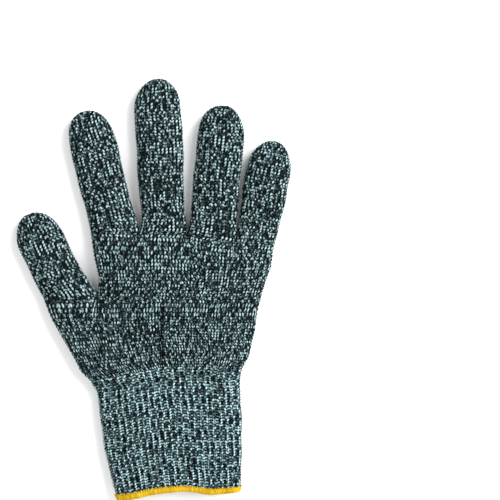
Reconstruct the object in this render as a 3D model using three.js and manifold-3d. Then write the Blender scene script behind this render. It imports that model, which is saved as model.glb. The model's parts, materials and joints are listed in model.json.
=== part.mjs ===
// A seamless knitted cut resistant glove, lying flat with its palm side up.
// Millimetres. +Y runs to the fingertips, +X to the little finger, +Z up from the surface it lies on.
// The drawing starts at the middle of the wrist line; the finished glove is moved so that its
// origin is under the middle of its outline.

import * as THREE from 'three';
import { mergeVertices } from 'three/addons/utils/BufferGeometryUtils.js';
import Module from 'manifold-3d';

const wasm = await Module();
wasm.setup();

// Fabric and clearances
const WALL = 1.3; // thickness of the knitted fabric
const ROOT_WALL = 1.4; // a little thicker where a finger grows out of the hand
const ROOT_DEPTH = 18; // how far a finger's tube runs on into the hand
const CLEARANCE = 0.25; // kept by each section from the middle of a joint or a course line
const FLATNESS = 1.15; // over 1 gives a tube a flat strip above and below
const SMALLEST = 0.02; // detail finer than this is dropped
const OVERRUN = 5; // an inner solid runs on past its outer one, so that the tube is open
const STEP_DOWN = 0.01; // keeps the inner solids of the upper palm off one shared plane
const SPAN = 100; // half the width of a cutting block
const REACH = 9; // half the height of a cutting block, past either face of the glove
const BEYOND = 200; // far past either end of the glove
const FINGER_SIDES = 24;
const BODY_SIDES = 36;

// How far the glove bends, in degrees, which sets how far the sections are cut back
const KNUCKLE_BEND = 65;
const MIDDLE_BEND = 80;
const TIP_BEND = 50;
const THUMB_FOLD = 60;
const THUMB_KNUCKLE_BEND = 70;
const THUMB_TIP_BEND = 60;
const WRIST_BEND = 60;

// Fingers and thumb: where each one bends off the palm, its lean to the little finger side in
// degrees, its length from there, and half its width where it starts and where it is fullest
const DIGIT_THICKNESS = 11;
const TIP_ROUNDING = 18.5;
const TIP_LEVELS = [0, 0.3, 0.55, 0.76, 0.9, 0.975]; // of the rounding, where a section is drawn
const WIDENING = 30; // length over which a finger reaches its full width
const FINGERS = {
  index_finger: { x: -31.8, y: 91.4, lean: -13.9, length: 67.7, start: 12.9, full: 13.2 },
  middle_finger: { x: -3.1, y: 94.6, lean: -2.7, length: 81.2, start: 11.7, full: 13.2 },
  ring_finger: { x: 25.6, y: 92.5, lean: 5, length: 68.5, start: 13, full: 13.2 },
  little_finger: { x: 50.3, y: 83.9, lean: 10.5, length: 57, start: 11, full: 12.6 },
};
const FINGER_JOINTS = [0, 0.42, 0.7]; // of a finger's length
const THUMB = { x: -59, y: 53.2, lean: -25.5, length: 50, start: 13, full: 13.2 };
const THUMB_JOINTS = [0, 0.5];

// Body of the hand: its left and right edge and its thickness at each height above the wrist
const CROTCH = 51.4; // where the thumb leaves the palm
const FOLD = -40; // the line that the thumb side folds along
const BODY_THICKNESS = 14;
const WRIST_THICKNESS = 12.5;
const FIVE_FINGER_BODY = [
  { y: 0, left: -41.5, right: 40.5, high: WRIST_THICKNESS },
  { y: 8, left: -50, right: 41.6, high: 13.5 },
  { y: 17, left: -54.7, right: 45.8, high: BODY_THICKNESS },
  { y: 30, left: -62.4, right: 49.1, high: BODY_THICKNESS },
  { y: CROTCH, left: -72.5, right: 52.8, high: BODY_THICKNESS },
];
const FOUR_FINGER_BODY = [
  { y: CROTCH, left: -39.9, right: 52.8, high: BODY_THICKNESS, arch: 0 },
  { y: 62, left: -39.9, right: 55.2, high: BODY_THICKNESS, arch: 0.3 },
  { y: 76, left: -42, right: 57.6, high: 13, arch: 0.7 },
  { y: 88.8, left: -44.3, right: 59.4, high: 12, arch: 1 },
];
const ARCH = { x: -2, left: 0.002, right: 0.0042 }; // the finger webs drop away from the middle finger

// Cuff: the same kind of list, with the slope of each level, ending in the sewn edge
const CUFF_END = -61.5;
const CUFF = [
  { y: 0, left: -41, right: 40.5, high: WRIST_THICKNESS, slope: 0 },
  { y: -20, left: -38.3, right: 41.4, high: WRIST_THICKNESS, slope: 0.02 },
  { y: -40, left: -35.3, right: 42, low: 0.4, high: 12.6, slope: 0.045 },
  { y: CUFF_END, left: -31.6, right: 41.4, low: 0.9, high: 12.9, slope: 0.068 },
];
const HEM_HEIGHT = 3.7;
const HEM_DEPTH = 0.9; // how far the sewn edge stands proud of the fabric, inside and out
const HEM_OVERLAP = 2.2; // how far the cuff's edge goes up into it
const HEM_GAP = 0.35; // between the cuff's fabric and the groove it stands in
const ELASTIC = { radius: 0.4, sides: 5, turns: 7, steps: 26, first: -7, last: -54, gap: 0.5 };

const KNIT_COLOUR = 0x4c5e60;
const CUFF_COLOUR = 0x5a7073;
const HEM_COLOUR = 0xc9b226;
const ELASTIC_COLOUR = 0xd8d6cc;

const clamp = THREE.MathUtils.clamp;
const radians = THREE.MathUtils.degToRad;

// One closed cross-section of a flattened tube, drawn in from its outer face by inset.
function ring(level, inset, sides) {
  const { y, left, right, low = 0, high, arch = 0, slope = 0 } = level;
  const middle = (left + right) / 2;
  const halfWidth = (right - left) / 2 - inset;
  const halfHeight = (high - low) / 2 - inset;
  const points = [];
  for (let side = 0; side < sides; side++) {
    const angle = (2 * Math.PI * side) / sides;
    const x = middle + halfWidth * Math.cos(angle);
    const z = (low + high) / 2 + halfHeight * clamp(FLATNESS * Math.sin(angle), -1, 1);
    const steepness = x < ARCH.x ? ARCH.left : ARCH.right;
    const dip = arch * steepness * (x - ARCH.x) ** 2;
    points.push(new THREE.Vector3(x, y - dip + slope * (x - middle), z));
  }
  return points;
}

// The manifold solid of a closed three.js geometry.
function solid(geometry) {
  geometry.deleteAttribute('normal');
  geometry.deleteAttribute('uv');
  const merged = mergeVertices(geometry, 1e-5);
  return new wasm.Manifold(new wasm.Mesh({
    numProp: 3,
    vertProperties: merged.attributes.position.array,
    triVerts: merged.index.array,
  }));
}

// A solid through a list of cross-sections that rise along +Y, closed at both ends.
function loft(rings) {
  const sides = rings[0].length;
  const corners = rings.flat().flatMap((point) => point.toArray());
  const faces = [];
  for (let level = 0; level + 1 < rings.length; level++) {
    for (let side = 0; side < sides; side++) {
      const here = level * sides + side;
      const next = level * sides + ((side + 1) % sides);
      faces.push(here, here + sides, next, next, here + sides, next + sides);
    }
  }
  const top = (rings.length - 1) * sides;
  for (let side = 1; side + 1 < sides; side++) {
    faces.push(0, side, side + 1, top, top + side + 1, top + side);
  }
  const geometry = new THREE.BufferGeometry();
  geometry.setAttribute('position', new THREE.Float32BufferAttribute(corners, 3));
  geometry.setIndex(faces);
  return solid(geometry);
}

// A body's solid, drawn in by inset and lengthened past its first and last level.
function tube(levels, inset, before = 0, after = 0) {
  const ordered = [...levels].sort((a, b) => a.y - b.y);
  const rings = ordered.map((level) => ring(level, inset, BODY_SIDES));
  const moved = (points, distance) => points.map((p) => p.clone().setY(p.y + distance));
  if (before) {
    rings.unshift(moved(rings[0], -before));
  }
  if (after) {
    rings.push(moved(rings.at(-1), after));
  }
  return loft(rings);
}

// The cross-sections of a finger or thumb from a distance before its first joint to its tip.
function digitRings(digit, inset, before) {
  const end = digit.length - inset;
  const rounding = TIP_ROUNDING - inset;
  const shoulder = end - rounding;
  const level = (y, narrowing, flattening) => {
    const widened = THREE.MathUtils.smoothstep(y, 0, WIDENING);
    const half = THREE.MathUtils.lerp(digit.start, digit.full, widened) - inset;
    const high = DIGIT_THICKNESS / 2 + (DIGIT_THICKNESS / 2 - inset) * flattening;
    const wide = half * narrowing;
    return ring({ y, left: -wide, right: wide, low: DIGIT_THICKNESS - high, high }, 0, FINGER_SIDES);
  };
  const rings = [-before, 0, shoulder / 3, (2 * shoulder) / 3].map((y) => level(y, 1, 1));
  for (const part of TIP_LEVELS) {
    const y = shoulder + part * rounding;
    rings.push(level(y, Math.sqrt(1 - part ** 2), Math.sqrt(1 - part ** 4)));
  }
  return rings;
}

// A block that keeps what lies between two joints of a digit. Each end stands back from its
// joint, and above the hinge line it slopes back so that the joint can close by its full bend.
function between(start, startBend, end, endBend, thickness) {
  const axis = thickness / 2;
  const startSlope = REACH * Math.tan(radians(startBend / 2));
  const endSlope = REACH * Math.tan(radians(endBend / 2));
  const profile = new THREE.Shape([
    new THREE.Vector2(start + CLEARANCE, axis - REACH),
    new THREE.Vector2(end - CLEARANCE, axis - REACH),
    new THREE.Vector2(end - CLEARANCE, axis),
    new THREE.Vector2(end - CLEARANCE - endSlope, axis + REACH),
    new THREE.Vector2(start + CLEARANCE + startSlope, axis + REACH),
    new THREE.Vector2(start + CLEARANCE, axis),
  ]);
  const block = new THREE.ExtrudeGeometry(profile, { depth: 2 * SPAN, bevelEnabled: false });
  block.translate(0, 0, -SPAN);
  // the profile's x is the distance along the digit and its y is the height
  block.applyMatrix4(new THREE.Matrix4().makeBasis(
    new THREE.Vector3(0, 1, 0),
    new THREE.Vector3(0, 0, 1),
    new THREE.Vector3(1, 0, 0),
  ));
  return solid(block);
}

// Moves a digit's own solid to its place on the hand.
function onHand(shape, digit) {
  return shape.rotate([0, 0, -digit.lean]).translate([digit.x, digit.y, 0]);
}

function fabric(colour, roughness) {
  return new THREE.MeshStandardMaterial({ color: colour, roughness, metalness: 0 });
}

function mesh(name, shape, material) {
  const { vertProperties, triVerts } = shape.simplify(SMALLEST).getMesh();
  const geometry = new THREE.BufferGeometry();
  geometry.setAttribute('position', new THREE.BufferAttribute(vertProperties, 3));
  geometry.setIndex(new THREE.BufferAttribute(triVerts, 1));
  geometry.computeVertexNormals();
  const made = new THREE.Mesh(geometry, material);
  made.name = name;
  return made;
}

// The knitted sections of one finger or thumb, each an open tube, the last one closed at its tip.
function digitSections(name, digit, joints, bends, sections) {
  const group = new THREE.Group();
  const outer = loft(digitRings(digit, 0, OVERRUN));
  const shell = outer.subtract(loft(digitRings(digit, WALL, 2 * OVERRUN)));
  sections.forEach((section, k) => {
    const start = joints[k] * digit.length;
    const last = k + 1 === joints.length;
    const end = last ? BEYOND : joints[k + 1] * digit.length;
    const block = between(start, bends[k], end, last ? 0 : bends[k + 1], DIGIT_THICKNESS);
    group.add(mesh(`${name}_${section}`, shell.intersect(block), fabric(KNIT_COLOUR, 0.9)));
  });
  group.position.set(digit.x, digit.y, 0);
  group.rotation.z = -radians(digit.lean);
  return group;
}

// The start of a digit, below its first joint, which is knitted into the body of the hand.
function root(digit, inset, bend) {
  const tubeSolid = loft(digitRings(digit, inset, ROOT_DEPTH));
  const block = between(-BEYOND, 0, inset ? 1 : 0, inset ? 0 : bend, DIGIT_THICKNESS);
  return onHand(tubeSolid.intersect(block), digit);
}

// Keeps the palm's side or the thumb's side of the line that the thumb folds along.
function foldSide(side) {
  const block = between(0, THUMB_FOLD, BEYOND, 0, BODY_THICKNESS);
  return block.rotate([0, 0, side === 'palm' ? -90 : 90]).translate([FOLD, 0, 0]);
}

// Keeps one side of the wrist, which bends both ways.
function wristSide(turn) {
  const up = between(0, WRIST_BEND, BEYOND, 0, WRIST_THICKNESS);
  const down = up.mirror([0, 0, 1]).translate([0, 0, WRIST_THICKNESS]);
  return up.intersect(down).rotate([0, 0, turn]);
}

function upperPalm() {
  let outer = tube(FOUR_FINGER_BODY, 0);
  let inner = tube(FOUR_FINGER_BODY, WALL, OVERRUN).translate([0, -STEP_DOWN, 0]);
  for (const finger of Object.values(FINGERS)) {
    outer = outer.add(root(finger, 0, KNUCKLE_BEND));
    inner = inner.add(root(finger, ROOT_WALL, KNUCKLE_BEND));
  }
  const above = between(CROTCH, 0, BEYOND, 0, BODY_THICKNESS);
  return outer.subtract(inner).intersect(above);
}

function lowerPalm() {
  const inner = tube(FIVE_FINGER_BODY, WALL, OVERRUN, OVERRUN);
  const shell = tube(FIVE_FINGER_BODY, 0).subtract(inner);
  const below = between(-BEYOND, 0, CROTCH, 0, BODY_THICKNESS);
  return shell.intersect(below).intersect(foldSide('palm')).intersect(wristSide(0));
}

function thumbBase() {
  const inner = tube(FIVE_FINGER_BODY, WALL).translate([0, -WALL, 0]);
  const outer = tube(FIVE_FINGER_BODY, 0).add(root(THUMB, 0, THUMB_KNUCKLE_BEND));
  const shell = outer.subtract(inner.add(root(THUMB, ROOT_WALL, THUMB_KNUCKLE_BEND)));
  const below = onHand(between(-BEYOND, 0, 0, THUMB_KNUCKLE_BEND, DIGIT_THICKNESS), THUMB);
  return shell.intersect(below).intersect(foldSide('thumb')).intersect(wristSide(0));
}

function cuffRib() {
  const shell = tube(CUFF, 0).subtract(tube(CUFF, WALL, OVERRUN, OVERRUN));
  return shell.intersect(wristSide(180));
}

// The sewn edge folds over the cuff's cut end, so it has a groove that the fabric stands in.
function cuffHem() {
  const end = CUFF.at(-1);
  const lower = end.y - (HEM_HEIGHT - HEM_OVERLAP);
  const levels = [{ ...end, y: lower }, { ...end, y: lower + HEM_HEIGHT }];
  const walls = tube(levels, -HEM_GAP, 0, OVERRUN);
  const around = walls.subtract(tube(levels, WALL + HEM_GAP, OVERRUN, 2 * OVERRUN));
  const bottom = [{ ...end, y: end.y - HEM_GAP }, { ...end, y: 0 }];
  const groove = around.intersect(tube(bottom, -2 * HEM_GAP));
  const band = tube(levels, -HEM_DEPTH);
  return band.subtract(tube(levels, WALL + HEM_DEPTH, OVERRUN, OVERRUN)).subtract(groove);
}

// The elastic thread winds down the inside of the cuff.
class ElasticPath extends THREE.Curve {
  getPoint(share) {
    const y = THREE.MathUtils.lerp(ELASTIC.first, ELASTIC.last, share);
    const upper = CUFF.findLast((level) => level.y >= y);
    const lower = CUFF.find((level) => level.y < y);
    const part = (upper.y - y) / (upper.y - lower.y);
    const at = (key) => THREE.MathUtils.lerp(upper[key] ?? 0, lower[key] ?? 0, part);
    const inset = WALL + ELASTIC.gap + ELASTIC.radius;
    const angle = 2 * Math.PI * ELASTIC.turns * share;
    const x = (at('left') + at('right')) / 2
      + ((at('right') - at('left')) / 2 - inset) * Math.cos(angle);
    const z = (at('low') + at('high')) / 2
      + ((at('high') - at('low')) / 2 - inset) * clamp(FLATNESS * Math.sin(angle), -1, 1);
    return new THREE.Vector3(x, y + at('slope') * x, z);
  }
}

function cuffElastic() {
  const round = new THREE.Shape();
  round.moveTo(ELASTIC.radius, 0);
  for (let side = 1; side <= ELASTIC.sides; side++) {
    const angle = (2 * Math.PI * side) / ELASTIC.sides;
    round.lineTo(ELASTIC.radius * Math.cos(angle), ELASTIC.radius * Math.sin(angle));
  }
  return solid(new THREE.ExtrudeGeometry(round, {
    steps: ELASTIC.turns * ELASTIC.steps,
    extrudePath: new ElasticPath(),
  }));
}

const knit = () => fabric(KNIT_COLOUR, 0.9);
const glove = new THREE.Group();
const fingerBends = [KNUCKLE_BEND, MIDDLE_BEND, TIP_BEND];
for (const [name, finger] of Object.entries(FINGERS)) {
  glove.add(digitSections(name, finger, FINGER_JOINTS, fingerBends, ['base', 'middle', 'tip']));
}
glove.add(digitSections(
  'thumb', THUMB, THUMB_JOINTS, [THUMB_KNUCKLE_BEND, THUMB_TIP_BEND], ['middle', 'tip'],
));
glove.add(mesh('upper_palm', upperPalm(), knit()));
glove.add(mesh('lower_palm', lowerPalm(), knit()));
glove.add(mesh('thumb_base', thumbBase(), knit()));
glove.add(mesh('cuff_rib', cuffRib(), fabric(CUFF_COLOUR, 0.9)));
glove.add(mesh('cuff_hem', cuffHem(), fabric(HEM_COLOUR, 0.75)));
glove.add(mesh('cuff_elastic', cuffElastic(), fabric(ELASTIC_COLOUR, 0.6)));

// Under the middle of the outline
const outline = new THREE.Box3().setFromObject(glove);
const centre = outline.getCenter(new THREE.Vector3());
glove.position.set(-centre.x, -centre.y, -outline.min.z);

export default glove;
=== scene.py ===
"""A knitted cut resistant glove, left hand, laid palm up on a pale surface."""
import json
import math

import bpy
import numpy as np
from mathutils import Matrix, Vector


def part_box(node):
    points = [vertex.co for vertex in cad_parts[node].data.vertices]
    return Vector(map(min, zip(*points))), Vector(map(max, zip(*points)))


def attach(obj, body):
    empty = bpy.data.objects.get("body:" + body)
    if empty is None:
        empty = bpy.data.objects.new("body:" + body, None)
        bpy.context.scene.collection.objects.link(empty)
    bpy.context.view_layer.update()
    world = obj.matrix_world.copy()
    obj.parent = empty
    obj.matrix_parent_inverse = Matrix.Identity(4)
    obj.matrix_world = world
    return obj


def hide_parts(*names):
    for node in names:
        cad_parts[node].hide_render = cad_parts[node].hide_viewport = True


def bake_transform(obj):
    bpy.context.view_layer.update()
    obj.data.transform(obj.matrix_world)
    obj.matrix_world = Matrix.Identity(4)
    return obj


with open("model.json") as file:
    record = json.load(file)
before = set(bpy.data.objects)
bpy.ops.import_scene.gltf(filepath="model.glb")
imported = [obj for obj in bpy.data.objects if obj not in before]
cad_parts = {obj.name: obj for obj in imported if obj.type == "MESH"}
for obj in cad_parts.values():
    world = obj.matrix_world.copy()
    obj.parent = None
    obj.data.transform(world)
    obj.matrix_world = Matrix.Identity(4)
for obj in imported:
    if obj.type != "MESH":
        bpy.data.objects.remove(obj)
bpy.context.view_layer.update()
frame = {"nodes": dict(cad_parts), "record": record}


# ---------------------------------------------------------------- the table and the light
# A pale matt table top under two large soft boxes and a weak fill, seen from straight above
# with a long lens. None of it belongs to the glove.

def aim(thing, place, at):
    """Puts a lamp at a place and turns it to shine at a point."""
    thing.location = place
    thing.rotation_euler = (Vector(at) - Vector(place)).to_track_quat("-Z", "Y").to_euler()


view_middle = (0.0565, 0.0223)
view_width = 0.289
lens = bpy.data.cameras.new("camera")
lens.lens, lens.sensor_width = 100, 36
camera = bpy.data.objects.new("camera", lens)
camera.location = (*view_middle, view_width * lens.lens / lens.sensor_width)
bpy.context.scene.collection.objects.link(camera)
bpy.context.scene.camera = camera

TABLE_SIDE = 6.0
corners = [(across * TABLE_SIDE / 2, up * TABLE_SIDE / 2, 0)
           for across, up in ((-1, -1), (1, -1), (1, 1), (-1, 1))]
table_mesh = bpy.data.meshes.new("table_top")
table_mesh.from_pydata(corners, [], [(0, 1, 2, 3)])
table_top = bpy.data.objects.new("table_top", table_mesh)
bpy.context.scene.collection.objects.link(table_top)
paper = bpy.data.materials.new("pale paper")
paper.use_nodes = True
shader = paper.node_tree.nodes["Principled BSDF"]
shader.inputs["Base Color"].default_value = (0.93, 0.93, 0.935, 1)
shader.inputs["Roughness"].default_value = 0.9
table_mesh.materials.append(paper)

for name, place, size, watts in [
    ("right soft box", (0.85, 0.45, 0.75), 0.9, 27),
    ("left soft box", (-0.9, 0.2, 1.1), 1.0, 5),
    ("near fill", (0.1, -1.0, 0.8), 0.9, 6),
]:
    lamp = bpy.data.lights.new(name, "AREA")
    lamp.size, lamp.energy = size, watts
    holder = bpy.data.objects.new(name, lamp)
    aim(holder, place, (0.02, 0.0, 0.0))
    bpy.context.scene.collection.objects.link(holder)

surroundings = bpy.data.worlds.new("studio")
surroundings.use_nodes = True
surroundings.node_tree.nodes["Background"].inputs["Color"].default_value = (1, 1, 1, 1)
surroundings.node_tree.nodes["Background"].inputs["Strength"].default_value = 0.62
bpy.context.scene.world = surroundings
bpy.context.scene.view_settings.view_transform = "Standard"


# ---------------------------------------------------------------- the hand of the glove
# One seamless knitted tube of grey speckled yarn, made in the round: 140 columns of stitches
# below the thumb and 112 above it. Everything here is in millimetres, and one chart gives
# each stitch of the whole glove its place: a column across the chart, a course up it.

finger_names = ["index_finger", "middle_finger", "ring_finger", "little_finger"]
COURSE = 1.75           # height of one row of stitches
LANE = 14               # columns of stitches on one face of a finger
HAND = 8 * LANE         # round the hand above the thumb
HAND_AND_THUMB = 10 * LANE
SQUARENESS = 2.5        # of the flattened tube's cross-section
PARTING = 13            # the cloth starts to sink this far below a parting of two digits
WEBS_OVER_CROTCH = 34
FINGER_ROOT = 11        # thickness of the hand where it parts into fingers
joints = {joint["name"]: joint for joint in frame["record"]["behaviour"]["joints"]}


def section(nodes, origin, along, station):
    """Left, right, low and high edge of CAD nodes where a plane across the direction cuts them."""
    across = np.array([along[1], -along[0]])
    found = []
    for name in nodes:
        points = cad_points[name]
        distance = (points[0][:, :2] - origin) @ np.array(along) - station
        start, end = points[1].T
        cut = distance[start] * distance[end] < 0
        part = distance[start][cut] / (distance[start][cut] - distance[end][cut])
        found.append(points[0][start][cut] * (1 - part[:, None]) + points[0][end][cut] * part[:, None])
    found = np.concatenate(found)
    if not len(found):
        return None
    side = (found[:, :2] - origin) @ across
    return side.min(), side.max(), found[:, 2].min(), found[:, 2].max()


cad_points = {}
for name, node in frame["nodes"].items():
    mesh = node.data
    places = np.empty(3 * len(mesh.vertices))
    mesh.vertices.foreach_get("co", places)
    ends = np.empty(2 * len(mesh.edges), dtype=np.int32)
    mesh.edges.foreach_get("vertices", ends)
    cad_points[name] = (1000 * places.reshape(-1, 3), ends.reshape(-1, 2))


def outline(nodes, origin, along, stations):
    """The edges at a list of distances, as rows of distance, left, right, low and high."""
    rows = [(s, section(nodes, origin, along, s)) for s in stations]
    return np.array([(s, *cut) for s, cut in rows if cut is not None]).T


def ring(left, right, low, high, columns):
    """Evenly spaced points of one course, from the left edge over the top and back below."""
    angle = np.linspace(0, 2 * np.pi, 721)
    across = -np.sign(np.cos(angle)) * np.abs(np.cos(angle)) ** (2 / SQUARENESS)
    height = np.sign(np.sin(angle)) * np.abs(np.sin(angle)) ** (2 / SQUARENESS)
    left, right = np.array(left), np.array(right)
    flat = (left + right) / 2 + across[:, None] * (right - left) / 2
    points = np.column_stack([flat, (low + high) / 2 + height * (high - low) / 2])
    length = np.concatenate([[0], np.cumsum(np.linalg.norm(np.diff(points, axis=0), axis=1))])
    wanted = (np.asarray(columns) % 1.0) * length[-1]
    return np.column_stack([np.interp(wanted, length, points[:, k]) for k in range(3)])


def smooth(value):
    """Eases from 0 to 1 and stays there."""
    value = np.clip(value, 0, 1)
    return value * value * (3 - 2 * value)


wrist_y = 1000 * joints["wrist"]["pos_m"][1]
crotch_y = 1000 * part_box("lower_palm")[1].y
crotch = np.array([1000 * joints["thumb_fold"]["pos_m"][0], crotch_y])
hand_nodes = ["lower_palm", "thumb_base", "thumb_middle"]
below = outline(hand_nodes, (0, 0), (0, 1), np.arange(wrist_y + 2, crotch_y - 0.2, 1.5))
cuff_end = 1000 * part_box("cuff_rib")[0].y
cuff = outline(["cuff_rib"], (0, 0), (0, 1), np.arange(cuff_end + 6, wrist_y - 3, 3.0))
beyond = cuff[:, :1] + 4 * (cuff[:, :1] - cuff[:, 1:2])
sleeve = np.concatenate([beyond, cuff, below], axis=1)
above = outline(["upper_palm"], (0, 0), (0, 1), np.arange(crotch_y + 1, crotch_y + 38, 2.0))

# each digit: where it starts, its direction, and its edges along it
digits = {}
for name, first, sections in [
    *[(name, f"{name}_knuckle", ["base", "middle", "tip"]) for name in finger_names],
    ("thumb", "thumb_knuckle", ["middle", "tip"]),
]:
    start = 1000 * np.array(joints[first]["pos_m"][:2])
    sideways = np.array(joints[first]["axis"][:2])
    along = np.array([-sideways[1], sideways[0]])
    nodes = [f"{name}_{part}" for part in sections]
    reach = max(((cad_points[node][0][:, :2] - start) @ along).max() for node in nodes)
    near_tip = reach - np.array([5, 4, 3, 2, 1.2, 0.6, 0.25])
    stations = np.concatenate([np.arange(0.7, reach - 6, 1.9), near_tip])
    edges = outline(nodes, start, along, stations)
    edges[3] = np.minimum.accumulate(edges[3][::-1])[::-1]    # the sections are cut back at their
    edges[4] = np.maximum.accumulate(edges[4][::-1])[::-1]    # joints, but the cloth is not
    digits[name] = {"start": start, "along": along, "sideways": sideways, "reach": reach, "edges": edges}


LEFT, RIGHT = 1, 2


def edge_spot(name, which, distance):
    """The point of a digit's left or right edge at a distance along it."""
    digit = digits[name]
    side = np.interp(distance, digit["edges"][0], digit["edges"][which])
    return digit["start"] + distance * digit["along"] + side * digit["sideways"]


# the webs between the fingers: the hand's upper edge halfway between two neighbours
webs = [edge_spot("index_finger", LEFT, 0.0)]
for here, beside in zip(finger_names, finger_names[1:]):
    x = (edge_spot(here, RIGHT, -2.0)[0] + edge_spot(beside, LEFT, -2.0)[0]) / 2
    webs.append(np.array([x, -section(["upper_palm"], (0, 0), (1, 0), x)[0]]))
webs.append(edge_spot("little_finger", RIGHT, 0.0))
webs = np.array(webs)

# the height of the cuff's first course above the wrist, from left to right
rib_line = np.array([2.3, 7.2, 11.0, 11.3, 9.0])
rib_places = np.linspace(0, 1, 5)


def hand_below(height):
    """One course of the hand below the thumb's crotch; 0 is the cuff and 1 the crotch."""
    bottom = wrist_y + rib_line.mean()
    y = bottom + (crotch_y - bottom) * height
    bow = (rib_line - rib_line.mean()) * (1 - height) ** 1.5
    left, right = (np.interp(y + bow[end], sleeve[0], sleeve[edge]) for end, edge in ((0, 1), (-1, 2)))
    high = np.interp(y, sleeve[0], sleeve[4])
    evenly = left + 0.2 * (right - left)
    parting = evenly + (crotch[0] - evenly) * np.clip(height, 0, 1) ** 1.5
    top = np.linspace(0, 0.5, 200, endpoint=False)
    thumb_share = np.interp(parting, ring((left, y), (right, y), 0, high, top)[:, 0], top)
    half = np.concatenate([np.arange(LANE) / LANE * thumb_share,
                           thumb_share + np.arange(4 * LANE) / (4 * LANE) * (0.5 - thumb_share)])
    plain = ring((left, y), (right, y), 0, high, np.concatenate([half, [0.5], 1 - half[:0:-1]]))
    thumb = ring((left, y), (parting, y), 0, high - 1, np.arange(2 * LANE) / (2 * LANE))
    palm = ring((parting, y), (right, y), 0, high, np.arange(HAND) / HAND)
    lanes = np.concatenate([thumb[:LANE], palm, thumb[LANE:]])
    parted = smooth(1 - (crotch_y - y) / 15) ** 1.5
    points = plain + parted * (lanes - plain)
    points[:, 1] += np.interp((points[:, 0] - left) / (right - left), rib_places, bow)
    return points


def hand_above(height):
    """One course of the hand above the thumb's crotch; 0 is the crotch and 1 the webs."""
    first, last = (crotch_y + (webs[k][1] - crotch_y) * height for k in (0, -1))
    left = np.array([np.interp(first, above[0], above[1]), first])
    right = np.array([np.interp(last, above[0], above[2]), last])
    left += (webs[0] - left) * height ** 4
    right += (webs[-1] - right) * height ** 4
    high = np.interp((first + last) / 2, above[0], above[4])
    plain = ring(left, right, 0, high, np.arange(HAND) / HAND)
    front, back = [], []
    for k in range(4):
        evenly = [left + (right - left) * (k + step) / 4 for step in (0, 1)]
        ends = [even + (web - even) * height ** 2 for even, web in zip(evenly, webs[k:k + 2])]
        lane = ring(*ends, 0, FINGER_ROOT, np.arange(2 * LANE) / (2 * LANE))
        front.append(lane[:LANE])
        back.insert(0, lane[LANE:])
    lanes = np.concatenate(front + back)
    share = (plain[:, 0] - left[0]) / (right[0] - left[0])
    straight = np.linspace(webs[0][1], webs[-1][1], 5)
    bulge = np.interp(share, np.linspace(0, 1, 5), webs[:, 1] - straight)
    plain[:, 1] += bulge * height ** 2
    return plain + smooth(1 - (1 - height) * WEBS_OVER_CROTCH / PARTING) * (lanes - plain)


rows_below = round((crotch_y - wrist_y - rib_line.mean()) / COURSE)
rows_above = round((webs[:, 1].mean() - crotch_y) / COURSE)

chart = {"points": [], "places": [], "faces": []}
CHART_SIZE = 256.0


def add_to_chart(grid, column, course):
    """Puts a grid of points on the chart, its first corner at the given column and course."""
    rows, columns = grid.shape[:2]
    first = sum(len(points) for points in chart["points"])
    chart["points"].append(grid.reshape(-1, 3))
    across, up = np.meshgrid(column + np.arange(columns), course + np.arange(rows))
    chart["places"].append(np.column_stack([across.ravel(), up.ravel()]))
    index = first + np.arange(rows * columns).reshape(rows, columns)
    corners = index[:-1, :-1], index[:-1, 1:], index[1:, 1:], index[1:, :-1]
    chart["faces"].append(np.stack([c.ravel() for c in corners], axis=1))


def wrapped(rows):
    """Rows of a tube with one more column at each end, so that the chart closes round it."""
    grid = np.array(rows)
    return np.concatenate([grid[:, -1:], grid, grid[:, :2]], axis=1)


def digit_courses(name, left_start, right_start):
    """The courses of a finger, each with its left and right point and its low and high face."""
    digit = digits[name]
    start, along, sideways, reach = (digit[key] for key in ("start", "along", "sideways", "reach"))
    first = [(place - start) @ along for place in (left_start, right_start)]
    aside = [(place - start) @ sideways for place in (left_start, right_start)]
    closed_tip = [reach, -2.0, 2.0, 5.1, 5.9]
    distance, left, right, low, high = np.column_stack([digit["edges"], closed_tip])
    fine = np.linspace(np.mean(first), reach, 400)
    rise = np.interp(fine, distance, high)
    length = np.concatenate([[0], np.cumsum(np.hypot(np.diff(fine), np.diff(rise)))])
    count = round(length[-1] / COURSE)
    courses = []
    for k, station in enumerate(np.interp(np.linspace(0, length[-1], count + 1), length, fine)):
        settling = max(0, 1 - k / 9) ** 2
        ends = []
        for edge, edge_first, edge_aside in ((left, first[0], aside[0]), (right, first[1], aside[1])):
            here = station + (edge_first - np.mean(first)) * settling
            side = np.interp(here, distance, edge) * (1 - settling) + edge_aside * settling
            ends.append(start + here * along + side * sideways)
        faces = [np.interp(station, distance, face) for face in (low, high)]
        courses.append((ends[0], ends[1], *faces, station))
    return courses


NARROWED = 0.84     # a stitch at a tip is never narrower than this share of its full width


def digit_sheet(courses, middle):
    """The front (middle 0.25) or back (0.75) columns of a digit, as rows of points."""
    girths = []
    for left, right, low, high, _ in courses:
        around = ring(left, right, low, high, np.arange(96) / 96)
        girths.append(np.linalg.norm(around - np.roll(around, 1, axis=0), axis=1).sum())
    widest = max(girths[8:])
    rows, half_widths = [], []
    for (left, right, low, high, _), girth in zip(courses, girths):
        width = max(girth, NARROWED * widest) / (2 * LANE)
        columns = middle + (np.arange(-1, LANE + 2) - LANE / 2) * (width / girth)
        rows.append(ring(left, right, low, high, columns))
        half_widths.append(girth / 4 / width)
    return np.array(rows), half_widths


def lane_of(points, k):
    """The part of a course of the hand that runs on into finger k."""
    front = points[LANE * k:LANE * (k + 1) + 1]
    back = points[[j % HAND for j in range(HAND - LANE * (k + 1), HAND - LANE * k + 1)]]
    return front, back


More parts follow.
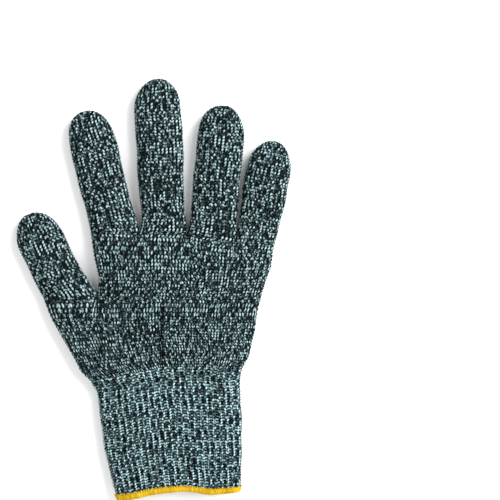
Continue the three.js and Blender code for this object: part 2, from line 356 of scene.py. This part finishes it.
BELOW, ABOVE, DIGITS, CUFF, HEM = (2, 2), (2, 60), (2, 100), (2, 178), (2, 230)
starts = {name: (webs[k], webs[k + 1]) for k, name in enumerate(finger_names)}
starts["thumb"] = (hand_below(1.0)[0][:2], crotch)
thumb_start = digit_courses("thumb", *starts["thumb"])[0]
thumb_root = ring(*thumb_start[:4], np.arange(2 * LANE) / (2 * LANE))
at_crotch = np.concatenate([thumb_root[:LANE], hand_above(0.0), thumb_root[LANE:]])


def hand_to_crotch(height):
    """A course of the hand below the crotch; the last ones sink to where the thumb parts."""
    share = smooth(1 - (1 - height) * rows_below * COURSE / PARTING)
    return hand_below(height) * (1 - share) + at_crotch * share


for k, name in enumerate([*finger_names, "thumb"]):
    courses = digit_courses(name, *starts[name])
    digits[name]["courses"] = courses
    digits[name]["chart"] = [(DIGITS[0] + 44 * k + 22 * face, DIGITS[1]) for face in (0, 1)]
    for face, middle in enumerate((0.25, 0.75)):
        rows, digits[name]["widths"] = digit_sheet(courses, middle)
        if name == "thumb":
            under = hand_to_crotch(1 - 1 / rows_below)
            lane = under[:LANE + 1] if face == 0 else under[[*range(9 * LANE, 10 * LANE), 0]]
        else:
            lane = lane_of(hand_above(1 - 1 / rows_above), k)[face]
        lane = np.concatenate([2 * lane[:1] - lane[1:2], lane, 2 * lane[-1:] - lane[-2:-1]])
        column, course = digits[name]["chart"][face]
        add_to_chart(np.concatenate([lane[None], rows]), column - 1, course - 1)


def first_row(name):
    """The first whole course of a digit, as one loop of its 32 columns."""
    left, right, low, high, _ = digits[name]["courses"][1]
    return ring(left, right, low, high, np.arange(2 * LANE) / (2 * LANE))


loops = [first_row(name) for name in finger_names]
over_webs = np.concatenate([loop[:LANE] for loop in loops] + [loop[LANE:] for loop in loops[::-1]])
thumb_loop = first_row("thumb")
palm_above = hand_above(1 / rows_above)
over_crotch = np.concatenate([thumb_loop[:LANE], palm_above, thumb_loop[LANE:]])
under_crotch = hand_to_crotch(1 - 1 / rows_below)[LANE:LANE + HAND]

rows = [hand_to_crotch(k / rows_below) for k in range(-1, rows_below + 1)] + [over_crotch]
add_to_chart(wrapped(rows), BELOW[0] - 1, BELOW[1] - 1)
rows = [under_crotch] + [hand_above(k / rows_above) for k in range(rows_above + 1)] + [over_webs]
add_to_chart(wrapped(rows), ABOVE[0] - 1, ABOVE[1] - 1)


# The cuff's courses and its sewn edge lie on the same chart: 92 columns, one plain and one
# purl by turns, and two more rows round its cut end for the thread that wraps it.
CUFF_COLUMNS = 92
CUFF_COURSE = 1.6
HEM_WRAPS = 212
HEM_HEIGHT = 2.3
hem_box = [1000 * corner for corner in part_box("cuff_hem")]
hem_points = cad_points["cuff_hem"][0]
hem_ends = [hem_points[np.abs(hem_points[:, 0] - side.x) < 3][:, 1].min() for side in hem_box]
hem_wave = np.array([0.0, 2.0, 3.1, 2.9, 2.2, 0.4, 0.0])
hem_wave_places = np.array([0.0, 0.22, 0.4, 0.56, 0.67, 0.78, 1.0])


def cuff_points(height, columns, swell=0.0):
    """One course of the cuff; 0 is its cut end and 1 its first course at the hand."""
    bow = (rib_line - rib_line.mean()) * np.clip(height, 0, 1) ** 1.5
    top = wrist_y + rib_line.mean()
    ends = []
    for end, edge, side, drawn_in in ((0, 1, -1, 2.5), (-1, 2, 1, 1.1)):
        y = hem_ends[end] + 0.8 + (top - hem_ends[end] - 0.8) * height
        out = swell - drawn_in * np.clip(1 - height, 0, 1) ** 4
        ends.append((np.interp(y + bow[end], sleeve[0], sleeve[edge]) + side * out, y))
    middle = (ends[0][1] + ends[1][1]) / 2
    low, high = (np.interp(middle, sleeve[0], sleeve[edge]) for edge in (3, 4))
    points = ring(*ends, max(low - swell, 0.25), high + swell, np.arange(columns) / columns)
    share = (points[:, 0] - ends[0][0]) / (ends[1][0] - ends[0][0])
    points[:, 1] += np.interp(share, rib_places, bow)
    points[:, 1] += np.interp(share, hem_wave_places, hem_wave) * (1 - height)
    return points


cuff_rows = round((wrist_y + rib_line.mean() - np.mean(hem_ends)) / CUFF_COURSE)
rows = [cuff_points(k / cuff_rows, CUFF_COLUMNS) for k in range(-1, cuff_rows + 2)]
add_to_chart(wrapped(rows), CUFF[0] - 1, CUFF[1] - 1)

# round the cut end from the inside to the outside: how far up and how far out
hem_profile = [(1.25, -1.6), (0.6, -1.7), (-0.1, -1.3), (-0.5, -0.3), (-0.2, 0.75), (0.5, 1.0), (1.2, 0.75)]
hem_share = HEM_HEIGHT / (CUFF_COURSE * cuff_rows)
rows = [cuff_points(hem_share * up, HEM_WRAPS, out) for up, out in hem_profile]
add_to_chart(wrapped(rows), HEM[0] - 1, HEM[1])


# The yarn is not perfectly even: the cloth rises and sinks a little all over, gathers where the
# cuff draws it in, and has one deeper crease below the middle of the palm.
def settled(points):
    """The points of the cloth with their small unevenness, gathers and creases."""
    x, y, z = points.T
    upper = smooth((z - 5) / 5)
    waves = (np.sin(x / 7.1 + y / 11.3 + 0.4) + np.sin(x / 12.7 - y / 8.9 + 2.1)
             + 0.7 * np.sin(x / 4.3 + y / 17 + 1.2) + 0.6 * np.sin(y / 5.2 - x / 15 + 0.7))
    z = z + upper * 0.28 * waves
    over_wrist = y - wrist_y - rib_line.mean()
    fading = smooth(1 - over_wrist / 34) * smooth((over_wrist + 7) / 9)
    puckers = np.sin(x / 1.9 + np.sin(y / 6.0) + 0.02 * y) * (0.6 + 0.4 * np.sin(x / 6.3 + 1.0))
    z = z + upper * fading * 0.45 * puckers
    for place, height, length, width, depth in [
        (5.2, 26, 17, 1.9, 4.8), (9.1, 25, 15, 1.8, -1.6),
        (-32.5, 15, 8, 1.8, 2.4), (-27.0, 19, 9, 2.0, -1.0),
        (37.0, 14, 8, 1.7, 1.6), (22.0, 18, 9, 2.0, 1.2),
    ]:
        up = (over_wrist + rib_line.mean() - height) / length
        crease = np.exp(-((x - place) / width) ** 2 - up ** 2)
        z = z - upper * depth * crease
    x = x + 0.22 * np.sin(y / 6.1 + 0.8) + 0.15 * np.sin(y / 2.9 + x / 20)
    y = y + 0.25 * np.sin(x / 7.7 + 0.3) + 0.16 * np.sin(x / 3.1 + y / 25)
    return np.column_stack([x, y, z])


cloth_points = settled(np.concatenate(chart["points"]))
cloth_faces = np.concatenate(chart["faces"])
cloth_places = np.concatenate(chart["places"])
corner = cloth_points[cloth_faces]
facing = np.cross(corner[:, 2] - corner[:, 0], corner[:, 3] - corner[:, 1])
outward = np.zeros_like(cloth_points)
for k in range(4):
    np.add.at(outward, cloth_faces[:, k], facing)
outward /= np.maximum(np.linalg.norm(outward, axis=1), 1e-9)[:, None]

cloth_mesh = bpy.data.meshes.new("cloth_chart")
cloth_mesh.from_pydata((cloth_points / 1000).tolist(), [], cloth_faces.tolist())
places_map = cloth_mesh.uv_layers.new(name="chart")
loop_places = cloth_places[cloth_faces.ravel()] / CHART_SIZE
places_map.uv.foreach_set("vector", loop_places.astype(np.float32).ravel())
facing_out = cloth_mesh.attributes.new("outward", "FLOAT_VECTOR", "POINT")
facing_out.data.foreach_set("vector", outward.astype(np.float32).ravel())
cloth = bpy.data.objects.new("cloth_chart", cloth_mesh)


# A plain stitch is a V of two half-round lengths of yarn over a square of painted shade that fills the gaps
# between stitches.
# A purl stitch is the bow of yarn that shows between two ribs. Each is drawn once, in columns
# across and courses up, and its height is in thicknesses of yarn.
def strand(path, width, points, faces, heights, legs):
    """A half-round length of yarn along a path of column, course and height."""
    path = np.array(path)
    heading = np.gradient(path[:, :2], axis=0)
    side = np.column_stack([heading[:, 1], -heading[:, 0]]) / np.linalg.norm(heading, axis=1)[:, None]
    first = len(points)
    for spot, out in zip(path, side):
        for step, drop in ((-0.5, -0.55), (-0.27, 0.0), (0.27, 0.0), (0.5, -0.55)):
            points.append((*(spot[:2] + out * step * width), spot[2] + drop))
            heights.append(spot[2] + drop)
            legs.append(np.sign(path[:, 0].mean()))
    for k in range(len(path) - 1):
        for j in range(3):
            a = first + 4 * k + j
            faces.append((a, a + 1, a + 5, a + 4))


def stitch_shape(name, paths, width, backed=True):
    """One stitch, drawn from lengths of yarn, as an object for the knitting to lay."""
    points, faces, heights, legs = [], [], [], []
    for path in paths:
        strand(path, width, points, faces, heights, legs)
    if backed:
        # the backing: a square under the yarn at the lowest depth, which the yarn's material darkens into
        # painted shade
        first = len(points)
        points += [(-0.56, -0.56, -0.6), (0.56, -0.56, -0.6), (0.56, 0.56, -0.6), (-0.56, 0.56, -0.6)]
        heights += [-0.6] * 4
        legs += [0] * 4
        faces.append((first, first + 1, first + 2, first + 3))
    mesh = bpy.data.meshes.new(name)
    mesh.from_pydata(points, [], faces)
    mesh.attributes.new("height", "FLOAT", "POINT").data.foreach_set("value", heights)
    mesh.attributes.new("leg", "FLOAT", "POINT").data.foreach_set("value", legs)
    return bpy.data.objects.new(name, mesh)


right_leg = [(0.0, -0.50, 0.0), (0.13, -0.27, 0.95), (0.38, 0.13, 1.0), (0.52, 0.36, 0.1)]
left_leg = [(-x, y, z) for x, y, z in right_leg]
plain_stitch = stitch_shape("plain_stitch", [left_leg[::-1], right_leg[::-1]], 0.5)
bow = [(-0.55, -0.12, 0.1), (-0.25, 0.12, 0.7), (0.25, 0.12, 0.7), (0.55, -0.12, 0.1)]
purl_stitch = stitch_shape("purl_stitch", [bow], 0.42)


def node_maker(tree):
    """A short way to put nodes in a tree: a kind, its inputs or what feeds them, its settings."""
    def node(kind, *sources, **settings):
        made = tree.nodes.new(kind)
        for key, value in settings.items():
            setattr(made, key, value)
        for socket, source in sources:
            if isinstance(source, bpy.types.NodeSocket):
                tree.links.new(source, made.inputs[socket])
            else:
                made.inputs[socket].default_value = source
        return made

    return node


def knitting_tree():
    """Lays one stitch at each point of a piece of the chart, in its true place on the glove."""
    tree = bpy.data.node_groups.new("knitting", "GeometryNodeTree")
    face = tree.interface
    face.new_socket("Geometry", in_out="INPUT", socket_type="NodeSocketGeometry")
    for name, kind in [("Plain stitch", "Object"), ("Purl stitch", "Object"), ("Cloth", "Object"),
                       ("Yarn thickness", "Float"), ("Seed", "Int"), ("Material", "Material")]:
        face.new_socket(name, in_out="INPUT", socket_type="NodeSocket" + kind)
    face.new_socket("Geometry", in_out="OUTPUT", socket_type="NodeSocketGeometry")
    node, links = node_maker(tree), tree.links
    given, result = node("NodeGroupInput"), node("NodeGroupOutput")

    def named(name, kind):
        made = node("GeometryNodeInputNamedAttribute", ("Name", name), data_type=kind)
        return made.outputs["Attribute"]

    shade = node("FunctionNodeRandomValue", ("Seed", given.outputs["Seed"]), data_type="FLOAT")
    points = node("GeometryNodeStoreNamedAttribute", ("Geometry", given.outputs["Geometry"]),
                  ("Name", "shade"), ("Value", shade.outputs[1]), data_type="FLOAT", domain="POINT")
    purl = named("purl", "BOOLEAN")
    plain = node("FunctionNodeBooleanMath", (0, purl), operation="NOT").outputs[0]
    laid = node("GeometryNodeJoinGeometry")
    for chosen, shape in ((plain, "Plain stitch"), (purl, "Purl stitch")):
        drawn = node("GeometryNodeObjectInfo", ("Object", given.outputs[shape]))
        laid_here = node("GeometryNodeInstanceOnPoints", ("Points", points.outputs[0]),
                         ("Selection", chosen), ("Instance", drawn.outputs["Geometry"]))
        links.new(laid_here.outputs[0], laid.inputs[0])
    real = node("GeometryNodeRealizeInstances", ("Geometry", laid.outputs[0]))

    spot = node("ShaderNodeSeparateXYZ", (0, node("GeometryNodeInputPosition").outputs[0]))
    place = node("ShaderNodeVectorMath", (0, node("GeometryNodeInputPosition").outputs[0]),
                 (1, (1 / CHART_SIZE, 1 / CHART_SIZE, 0)), operation="MULTIPLY").outputs[0]
    cloth_given = node("GeometryNodeObjectInfo", ("Object", given.outputs["Cloth"])).outputs["Geometry"]

    def sampled(value):
        return node("GeometryNodeSampleUVSurface", ("Mesh", cloth_given), ("Value", value),
                    ("Source UV Map", named("chart", "FLOAT_VECTOR")), ("Sample UV", place),
                    data_type="FLOAT_VECTOR")

    on_cloth = sampled(node("GeometryNodeInputPosition").outputs[0])
    out = sampled(named("outward", "FLOAT_VECTOR"))
    off_chart = node("FunctionNodeBooleanMath", (0, on_cloth.outputs["Is Valid"]), operation="NOT")
    kept = node("GeometryNodeDeleteGeometry", ("Geometry", real.outputs[0]),
                ("Selection", off_chart.outputs[0]))
    thick = node("ShaderNodeMath", (0, spot.outputs["Z"]), (1, given.outputs["Yarn thickness"]),
                 (2, named("raised", "FLOAT")), operation="MULTIPLY_ADD")
    lift = node("ShaderNodeVectorMath", (0, out.outputs[0]), operation="SCALE")
    links.new(thick.outputs[0], lift.inputs["Scale"])
    moved_to = node("ShaderNodeVectorMath", (0, on_cloth.outputs[0]), (1, lift.outputs[0]), operation="ADD")
    moved = node("GeometryNodeSetPosition", ("Geometry", kept.outputs[0]),
                 ("Position", moved_to.outputs[0]))
    rounded = node("GeometryNodeSetShadeSmooth", ("Geometry", moved.outputs[0]))
    dyed = node("GeometryNodeSetMaterial", ("Geometry", rounded.outputs[0]),
                ("Material", given.outputs["Material"]))
    links.new(dyed.outputs[0], result.inputs[0])
    return tree


knitting = knitting_tree()


def knit(name, places, material, raised=0.0, purl=None, yarn=0.45, shapes=None):
    """A plain mesh of the stitches at the given places of the chart."""
    mesh = bpy.data.meshes.new(name)
    mesh.from_pydata([(column, course, 0) for column, course in places], [], [])
    raised = np.broadcast_to(np.asarray(raised, dtype=np.float32) / 1000, len(places))
    mesh.attributes.new("raised", "FLOAT", "POINT").data.foreach_set("value", raised.copy())
    purl = np.zeros(len(places), dtype=bool) if purl is None else purl
    mesh.attributes.new("purl", "BOOLEAN", "POINT").data.foreach_set("value", purl)
    worked = bpy.data.objects.new(name + "_work", mesh)
    bpy.context.scene.collection.objects.link(worked)
    modifier = worked.modifiers.new("knitting", "NODES")
    modifier.node_group = knitting
    first, second = shapes or (plain_stitch, purl_stitch)
    values = {"Plain stitch": first, "Purl stitch": second, "Cloth": cloth,
              "Yarn thickness": yarn / 1000, "Seed": len(places), "Material": material}
    for socket in knitting.interface.items_tree:
        if socket.in_out == "INPUT" and socket.name in values:
            modifier[socket.identifier] = values[socket.name]
    done = bpy.data.meshes.new_from_object(worked.evaluated_get(bpy.context.evaluated_depsgraph_get()))
    bpy.data.objects.remove(worked)
    piece = bpy.data.objects.new(name, done)
    done.name = name
    bpy.context.scene.collection.objects.link(piece)
    return piece


# The yarn: light and dark fibres carded and plied together, so that every stitch is a
# different grey green, dull and a little hairy; painted shade darkens its flanks and where it dips under
# the next one.
def speckled_yarn(name, colours, deepest_painted_shade, fleck=0.0010, sheen=0.0):
    """A yarn of these colours, dark to light, and how dark the painted shade makes it at its deepest, where
    it dips under the next stitch.
    """
    yarn = bpy.data.materials.new(name)
    yarn.use_nodes = True
    node, links = node_maker(yarn.node_tree), yarn.node_tree.links
    shader = yarn.node_tree.nodes["Principled BSDF"]
    shader.inputs["Roughness"].default_value = 0.82
    shader.inputs["Specular IOR Level"].default_value = 0.05
    shader.inputs["Sheen Weight"].default_value = sheen
    shader.inputs["Sheen Roughness"].default_value = 0.5

    spot = node("ShaderNodeTexCoord").outputs["Object"]
    stitch = node("ShaderNodeAttribute", attribute_name="shade").outputs["Fac"]
    leg = node("ShaderNodeAttribute", attribute_name="leg").outputs["Fac"]
    apart = node("ShaderNodeMath", (0, leg), (1, 0.31), operation="MULTIPLY")
    spread = node("ShaderNodeMath", (0, stitch), (1, 7.0), (2, apart.outputs[0]), operation="MULTIPLY_ADD")
    shade = node("ShaderNodeMath", (0, spread.outputs[0]), operation="FRACT").outputs[0]
    height = node("ShaderNodeAttribute", attribute_name="height").outputs["Fac"]
    flecks = node("ShaderNodeTexNoise", ("Vector", spot), ("Scale", 1 / fleck), ("Detail", 2.0),
                  ("Roughness", 0.65)).outputs["Fac"]
    drifts = node("ShaderNodeTexNoise", ("Vector", spot), ("Scale", 110.0), ("Detail", 3.0)).outputs["Fac"]
    plies = node("ShaderNodeMath", (0, drifts), (1, 0.47), operation="SUBTRACT")
    twist = node("ShaderNodeMath", (0, leg), (1, plies.outputs[0]), operation="MULTIPLY")
    fleck_part = node("ShaderNodeMath", (0, flecks), (1, 1.2), (2, -0.42), operation="MULTIPLY_ADD")
    shade_part = node("ShaderNodeMath", (0, shade), (1, 0.56), (2, fleck_part.outputs[0]),
                      operation="MULTIPLY_ADD")
    mixed = node("ShaderNodeMath", (0, twist.outputs[0]), (1, 1.15), (2, shade_part.outputs[0]),
                 operation="MULTIPLY_ADD")
    dye = node("ShaderNodeValToRGB", ("Fac", mixed.outputs[0]))
    ramp = dye.color_ramp
    while len(ramp.elements) < len(colours):
        ramp.elements.new(0.5)
    for stop, (place, colour) in zip(ramp.elements, colours):
        stop.position, stop.color = place, (*colour, 1)
    # painted shade: the colour is scaled down with the yarn's depth, so each strand is darker on its
    # flanks, darker still where it dips under the next stitch, and darkest on the backing square
    painted_depth_shade = node("ShaderNodeMapRange", ("Value", height), ("From Min", -0.6), ("From Max", 0.75),
                  ("To Min", deepest_painted_shade), ("To Max", 1.0))
    shaded = node("ShaderNodeVectorMath", (0, dye.outputs["Color"]), operation="SCALE")
    links.new(painted_depth_shade.outputs[0], shaded.inputs["Scale"])
    links.new(shaded.outputs[0], shader.inputs["Base Color"])
    fibres = node("ShaderNodeTexNoise", ("Vector", spot), ("Scale", 5200.0),
                  ("Detail", 3.0)).outputs["Fac"]
    bump = node("ShaderNodeBump", ("Height", fibres), ("Strength", 0.55), ("Distance", 0.00022))
    links.new(bump.outputs[0], shader.inputs["Normal"])
    return yarn


glove_yarn = speckled_yarn("glove yarn", [
    (0.32, (0.002, 0.004, 0.0045)), (0.45, (0.011, 0.019, 0.021)),
    (0.55, (0.055, 0.090, 0.096)), (0.66, (0.19, 0.29, 0.305)), (0.82, (0.36, 0.50, 0.52)),
], deepest_painted_shade=0.10)


def cells(chart_corner, columns, courses):
    """The middle of each stitch in a block of columns and courses."""
    across, up = np.meshgrid(np.asarray(list(columns)) + 0.5, np.asarray(list(courses)) + 0.5)
    return np.column_stack([chart_corner[0] + across.ravel(), chart_corner[1] + up.ravel()])


WRIST_ROWS = 7      # courses in which the whole tube, the thumb's columns too, goes into the lower palm's piece
lower_palm = knit("lower_palm_knit", np.concatenate([
    cells(BELOW, range(HAND_AND_THUMB), range(WRIST_ROWS)),
    cells(BELOW, range(LANE, LANE + HAND), range(WRIST_ROWS, rows_below)),
]), glove_yarn)
wrist_middle = Vector(joints["wrist"]["pos_m"])
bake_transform(lower_palm)
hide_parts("lower_palm")

upper_palm = knit("upper_palm_knit", cells(ABOVE, range(HAND), range(rows_above)), glove_yarn)
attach(upper_palm, "palm")
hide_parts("upper_palm")


# ---------------------------------------------------------------- the fingers and the thumb
# Each is a closed tube knitted on from the hand, 14 columns on each face, that narrows and
# closes round its tip. A piece is what lies between two bends of the finger.

def digit_cells(name, first, last):
    """The stitches of a digit's courses from first up to last, fewer where the tip narrows."""
    found = []
    for corner in digits[name]["chart"]:
        for course in range(first, last):
            columns = np.arange(LANE) + 0.5
            columns = columns[np.abs(columns - LANE / 2) <= digits[name]["widths"][course] + 0.3]
            found += [(corner[0] + column, corner[1] + course + 0.5) for column in columns]
    return np.array(found)


def course_at(name, distance):
    """The course of a digit nearest to a distance along it from its first joint."""
    return int(np.argmin([abs(course[4] - distance) for course in digits[name]["courses"]]))


JOINT_LEVEL = 0.0055


def spot_along(name, distance):
    """A point inside a digit, level with its joints, at a distance from its first joint."""
    digit = digits[name]
    x, y = (digit["start"] + distance * digit["along"]) / 1000
    return Vector((x, y, JOINT_LEVEL))


def bend_at(name, joint):
    """How far along a digit one of its joints is."""
    from_start = 1000 * np.array(joints[f"{name}_{joint}"]["pos_m"][:2]) - digits[name]["start"]
    return from_start @ digits[name]["along"]


def knit_section(digit, body, first, last, zone):
    """Knits one section of a digit and hides the CAD part of that body; the points of the zone are worked
    out, but nothing bends it.
    """
    piece = knit(body + "_knit", digit_cells(digit, first, last), glove_yarn)
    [spot_along(digit, distance) for distance in zone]
    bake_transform(piece)
    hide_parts(body)


for name in finger_names:
    fold = 0.12 * digits[name]["reach"]
    middle, tip = bend_at(name, "middle_joint"), bend_at(name, "tip_joint")
    cuts = [0, course_at(name, middle / 2), course_at(name, (middle + tip) / 2),
            len(digits[name]["courses"]) - 1]
    zones = [(0.8, middle / 2 - 1), (middle - fold, middle + fold), (tip - fold, tip + fold)]
    bodies = ["palm", f"{name}_base", f"{name}_middle", f"{name}_tip"]
    for k in range(3):
        knit_section(name, bodies[k + 1], cuts[k], cuts[k + 1], zones[k])

# the ball of the thumb: its columns below the crotch and the thumb's first courses, in one piece
FOLD_ROWS = 6
ball = knit("thumb_base_knit", np.concatenate([
    cells(BELOW, range(LANE), range(WRIST_ROWS, rows_below)),
    cells(BELOW, range(LANE + HAND, HAND_AND_THUMB), range(WRIST_ROWS, rows_below)),
    digit_cells("thumb", 0, FOLD_ROWS),
]), glove_yarn)
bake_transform(ball)
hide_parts("thumb_base")

thumb_bend = bend_at("thumb", "tip_joint")
start_of_thumb = digits["thumb"]["courses"][FOLD_ROWS][4] + 1
between_bends = course_at("thumb", thumb_bend - 6)
last_course = len(digits["thumb"]["courses"]) - 1
knit_section("thumb", "thumb_middle", FOLD_ROWS, between_bends,
             (start_of_thumb, thumb_bend - 7))
knit_section("thumb", "thumb_tip", between_bends, last_course,
             (thumb_bend - 5, thumb_bend + 7))


# ---------------------------------------------------------------- the cuff
# Ribbed knitting of the same yarn plied a little lighter: a raised column of plain stitches
# and a sunk column of purl by turns, pulled in by the elastic thread laid inside it.
cuff_yarn = speckled_yarn("cuff yarn", [
    (0.24, (0.004, 0.007, 0.008)), (0.37, (0.028, 0.050, 0.055)),
    (0.48, (0.110, 0.180, 0.190)), (0.61, (0.27, 0.42, 0.445)), (0.78, (0.42, 0.61, 0.64)),
], deepest_painted_shade=0.15)
cuff_places = cells(CUFF, range(CUFF_COLUMNS), range(cuff_rows))
sunk = (np.floor(cuff_places[:, 0]).astype(int) - CUFF[0]) % 2 == 1
cuff_piece = knit("cuff_rib_knit", cuff_places, cuff_yarn, raised=np.where(sunk, -0.22, 0.3),
                  purl=sunk)
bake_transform(cuff_piece)
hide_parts("cuff_rib")


# ---------------------------------------------------------------- the sewn edge of the cuff
# Yellow thread sewn over the cut end of the cuff on an overlock machine: it goes round the
# edge turn after turn, a little aslant, and a chain of loops holds it on the outside.
hem_thread = speckled_yarn("hem thread", [
    (0.05, (0.36, 0.20, 0.004)), (0.30, (0.50, 0.30, 0.007)),
    (0.55, (0.57, 0.36, 0.010)), (0.80, (0.64, 0.42, 0.018)), (1.00, (0.71, 0.49, 0.04)),
], deepest_painted_shade=0.62, fleck=0.0006, sheen=0.05)
last = len(hem_profile) - 1
turn = [(0.42 * (v / last - 0.5), v - last / 2, 0.75) for v in np.linspace(0, last, 13)]
wrap = stitch_shape("wrap_of_thread", [turn], 1.05, backed=False)
half_link = [(-0.7, 0.0, 0.2), (-0.35, 0.22, 1.3), (0.2, 0.16, 1.5), (0.7, -0.02, 0.6)]
other_half = [(x, -y, z) for x, y, z in half_link]
chain_link = stitch_shape("chain_link", [half_link, other_half], 0.26, backed=False)
around = np.arange(HEM_WRAPS) + 0.5
wraps = [(HEM[0] + u, HEM[1] + last / 2) for u in around]
chain = [(HEM[0] + u, HEM[1] + last - 0.55) for u in around[::2]]
hem = knit("cuff_hem_thread", np.array(wraps + chain), hem_thread, yarn=0.42,
           purl=np.array([False] * len(wraps) + [True] * len(chain)), shapes=(wrap, chain_link))
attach(hem, "cuff")
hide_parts("cuff_hem")


# ---------------------------------------------------------------- the elastic thread
# Pale rubber thread covered with a fine winding of white yarn. It runs round and round
# inside the cuff, and its CAD shape is right, so it only gets its own material.
covered_rubber = bpy.data.materials.new("covered rubber thread")
covered_rubber.use_nodes = True
shader = covered_rubber.node_tree.nodes["Principled BSDF"]
shader.inputs["Roughness"].default_value = 0.6
node = node_maker(covered_rubber.node_tree)
spot = node("ShaderNodeTexCoord").outputs["Object"]
winding = node("ShaderNodeTexWave", ("Vector", spot), ("Scale", 700), ("Distortion", 1.5)).outputs["Fac"]
tint = node("ShaderNodeValToRGB", ("Fac", winding))
tint.color_ramp.elements[0].color = (0.50, 0.49, 0.45, 1)
tint.color_ramp.elements[1].color = (0.74, 0.73, 0.69, 1)
raised_winding = node("ShaderNodeBump", ("Height", winding), ("Distance", 0.0001))
links = covered_rubber.node_tree.links
links.new(tint.outputs["Color"], shader.inputs["Base Color"])
links.new(raised_winding.outputs["Normal"], shader.inputs["Normal"])
elastic = frame["nodes"]["cuff_elastic"]
for slot in elastic.material_slots:
    slot.material = covered_rubber

# the single stitches and the chart were only there to lay the knitting
for shape in (plain_stitch, purl_stitch, wrap, chain_link, cloth):
    bpy.data.objects.remove(shape)
